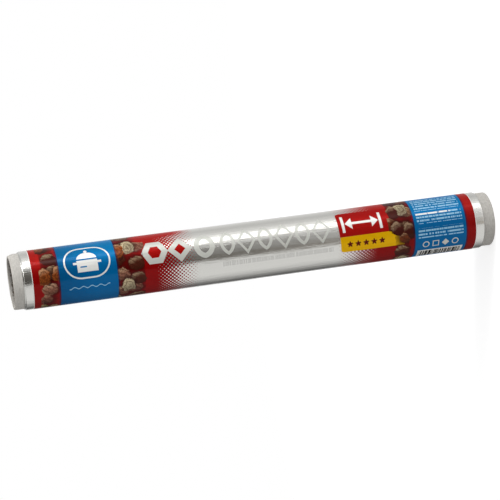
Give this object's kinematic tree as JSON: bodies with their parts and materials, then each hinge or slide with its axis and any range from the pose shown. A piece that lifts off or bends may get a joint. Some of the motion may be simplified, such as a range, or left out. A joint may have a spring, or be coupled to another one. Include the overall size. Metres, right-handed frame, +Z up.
{
  "type": "aluminium foil roll",
  "caption": "Household aluminium foil wound on a grey board core that stands out at both ends, in a printed clear film sleeve, stood on one end of the core.",
  "frame": {"origin": "centre of the lower end of the core, on the surface that the roll stands on", "axes": "+Z up the roll's axis to the end whose inner turns have slid out; +X is the side that carries the main printed fields' upper edge"},
  "size_m": [0.0354, 0.0353, 0.3],
  "materials": {
    "core_board": "matt grey board, brown inside",
    "foil": "bright rolled foil with fine ripples along the roll",
    "printed_film": "glossy clear film printed in fields of red, blue, yellow and white, clear over the foil"
  },
  "bodies": {
    "root": {"core_tube": "core_board", "foil_roll": "foil", "film_sleeve": "printed_film"}
  },
  "joints": []
}
